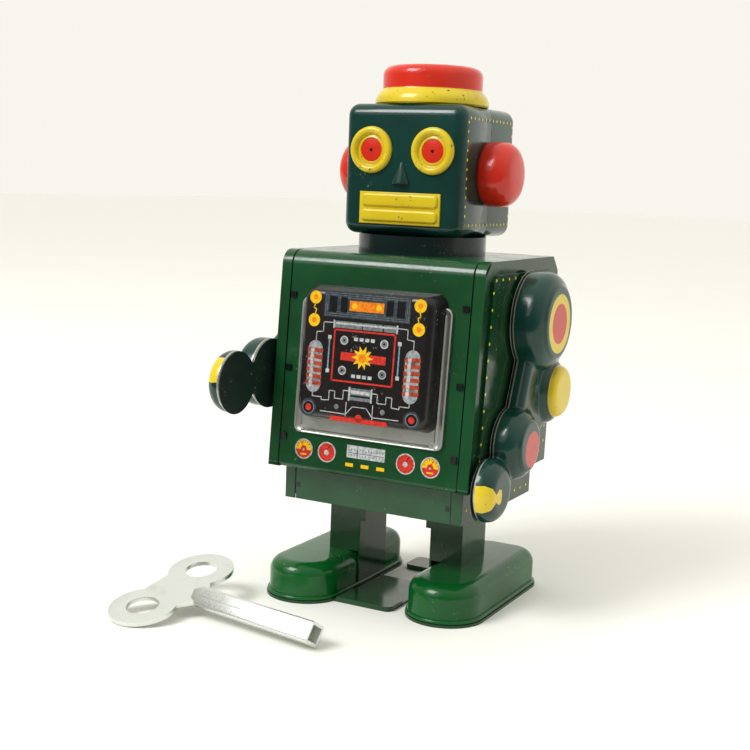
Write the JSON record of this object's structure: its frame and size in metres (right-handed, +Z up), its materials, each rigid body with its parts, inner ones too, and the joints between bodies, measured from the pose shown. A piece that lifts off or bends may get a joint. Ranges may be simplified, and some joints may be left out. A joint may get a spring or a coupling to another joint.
{
  "type": "wind-up tin walking robot",
  "caption": "Clockwork tin robot that walks on two cranked legs, with a box torso, box head, friction-held arms and a separate winding key.",
  "frame": {"origin": "on the floor, midway between the two feet, on the underside of the tongue of the right sole", "axes": "+Z up, the robot faces -Y, its own left side is +X; all shafts and hinges run along X"},
  "size_m": [0.1005, 0.1084, 0.1558],
  "materials": {
    "green_enamel": "gloss",
    "teal_enamel": "gloss",
    "foot_enamel": "gloss",
    "black_enamel": "gloss",
    "red_enamel": "gloss",
    "plated_steel": "polished",
    "bare_tinplate": "satin",
    "clock_steel": "satin",
    "clock_brass": "satin",
    "spring_steel": "satin"
  },
  "bodies": {
    "casing": {"front_panel": "green_enamel", "back_panel": "green_enamel", "top_plate": "green_enamel", "side_plate_left": "green_enamel", "side_plate_right": "green_enamel", "casing_tabs": "black_enamel", "window_frame": "plated_steel", "chest_plate": "black_enamel", "neck_collar": "teal_enamel", "head_front": "teal_enamel", "head_rear": "teal_enamel", "ear_left": "red_enamel", "ear_right": "red_enamel", "cap": "red_enamel", "motor_plate_left": "bare_tinplate", "motor_plate_right": "bare_tinplate", "motor_pillars": "clock_steel", "guide_rod": "clock_steel", "mainspring": "spring_steel"},
    "arm_left": {"arm_left_shell": "teal_enamel", "arm_left_back": "bare_tinplate", "arm_left_rivet": "clock_steel", "arm_left_washer": "clock_steel"},
    "arm_right": {"arm_right_shell": "teal_enamel", "arm_right_back": "bare_tinplate", "arm_right_rivet": "clock_steel", "arm_right_washer": "clock_steel"},
    "winder": {"winding_arbor": "clock_steel", "ratchet_wheel": "clock_brass"},
    "great_wheel": {"great_wheel": "clock_brass"},
    "click": {"click": "clock_steel"},
    "crank": {"crank_axle": "clock_steel", "crank_pinion": "clock_steel", "second_wheel": "clock_brass", "crank_left": "clock_steel", "crank_right": "clock_steel"},
    "escape": {"escape_arbor": "clock_steel", "escape_wheel": "clock_brass"},
    "pallet": {"pallet_arbor": "clock_steel", "pallet": "clock_steel"},
    "leg_left": {"leg_left": "foot_enamel", "leg_left_inner": "bare_tinplate", "foot_left": "foot_enamel", "sole_left": "foot_enamel"},
    "leg_right": {"leg_right": "foot_enamel", "leg_right_inner": "bare_tinplate", "foot_right": "foot_enamel", "sole_right": "foot_enamel"},
    "key": {"key_tube": "plated_steel", "key_bow": "plated_steel"}
  },
  "joints": [
    {"name": "crank_spin", "type": "hinge", "parent": "casing", "child": "crank", "pos_m": [0, 0.0005, 0.05], "axis": [1, 0, 0], "continuous": true},
    {"name": "great_wheel_spin", "type": "hinge", "parent": "casing", "child": "great_wheel", "pos_m": [0, 0.01405, 0.05798], "axis": [1, 0, 0], "continuous": true},
    {"name": "escape_spin", "type": "hinge", "parent": "casing", "child": "escape", "pos_m": [0, -0.00702, 0.06136], "axis": [1, 0, 0], "continuous": true},
    {"name": "leg_left_swing", "type": "hinge", "parent": "crank", "child": "leg_left", "pos_m": [0.011, 0.0028, 0.05], "axis": [1, 0, 0], "continuous": true},
    {"name": "leg_right_swing", "type": "hinge", "parent": "crank", "child": "leg_right", "pos_m": [-0.011, -0.0018, 0.05], "axis": [1, 0, 0], "continuous": true},
    {"name": "winding", "type": "hinge", "parent": "casing", "child": "winder", "pos_m": [0, 0.01405, 0.05798], "axis": [1, 0, 0], "continuous": true},
    {"name": "click_lift", "type": "hinge", "parent": "great_wheel", "child": "click", "pos_m": [0, 0.00615, 0.06098], "axis": [1, 0, 0], "range_deg": [-12, 0]},
    {"name": "pallet_rock", "type": "hinge", "parent": "casing", "child": "pallet", "pos_m": [0, -0.00702, 0.07356], "axis": [1, 0, 0], "range_deg": [-4, 4]},
    {"name": "arm_left_turn", "type": "hinge", "parent": "casing", "child": "arm_left", "pos_m": [0.0335, 0.005, 0.0845], "axis": [1, 0, 0], "continuous": true},
    {"name": "arm_right_turn", "type": "hinge", "parent": "casing", "child": "arm_right", "pos_m": [-0.0335, 0.005, 0.0845], "axis": [1, 0, 0], "continuous": true},
    {"name": "key_lift", "type": "slide", "parent": "casing", "child": "key", "axis": [0, 0, 1], "range_m": [0, 0.04]}
  ],
  "couplings": [
    {"joint": "great_wheel_spin", "follows": "crank_spin", "ratio": -0.3},
    {"joint": "escape_spin", "follows": "crank_spin", "ratio": -4},
    {"joint": "leg_left_swing", "follows": "crank_spin", "ratio": -1},
    {"joint": "leg_right_swing", "follows": "crank_spin", "ratio": -1}
  ]
}
